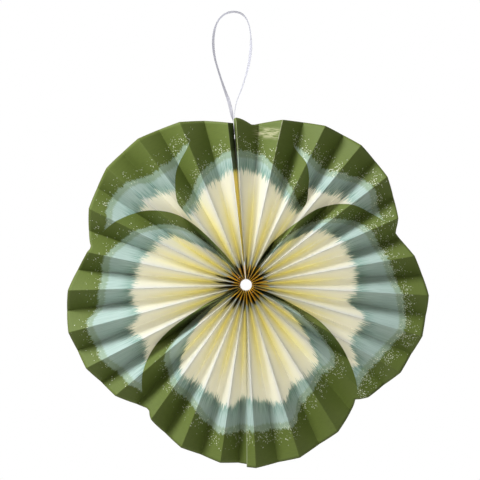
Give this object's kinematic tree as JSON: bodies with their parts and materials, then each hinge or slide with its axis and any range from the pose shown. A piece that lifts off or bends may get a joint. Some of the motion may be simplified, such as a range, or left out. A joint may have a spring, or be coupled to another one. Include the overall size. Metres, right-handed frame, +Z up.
{
  "type": "paper fan rosette",
  "caption": "Pleated paper fan opened to a full circle with a lobed rim and an open hub, printed on its front and hung by a ribbon loop.",
  "frame": {"origin": "middle of the open hub, halfway through the depth of the pleats", "axes": "+Z up towards the ribbon, -Y the way the printed front faces, +X to the right as seen from the front"},
  "size_m": [0.3112, 0.0256, 0.3924],
  "materials": {
    "printed_paper": "matt printed paper, with a flower in teal, cream and green on the front and plain off-white on the back",
    "foam_tape": "white double-sided foam",
    "thread": "off-white twisted cotton",
    "satin_ribbon": "pale silvery satin"
  },
  "bodies": {
    "root": {"right_pleated_sheet": "printed_paper", "left_pleated_sheet": "printed_paper", "seam_tape": "foam_tape", "hub_thread": "thread", "hanging_ribbon": "satin_ribbon"}
  },
  "joints": []
}
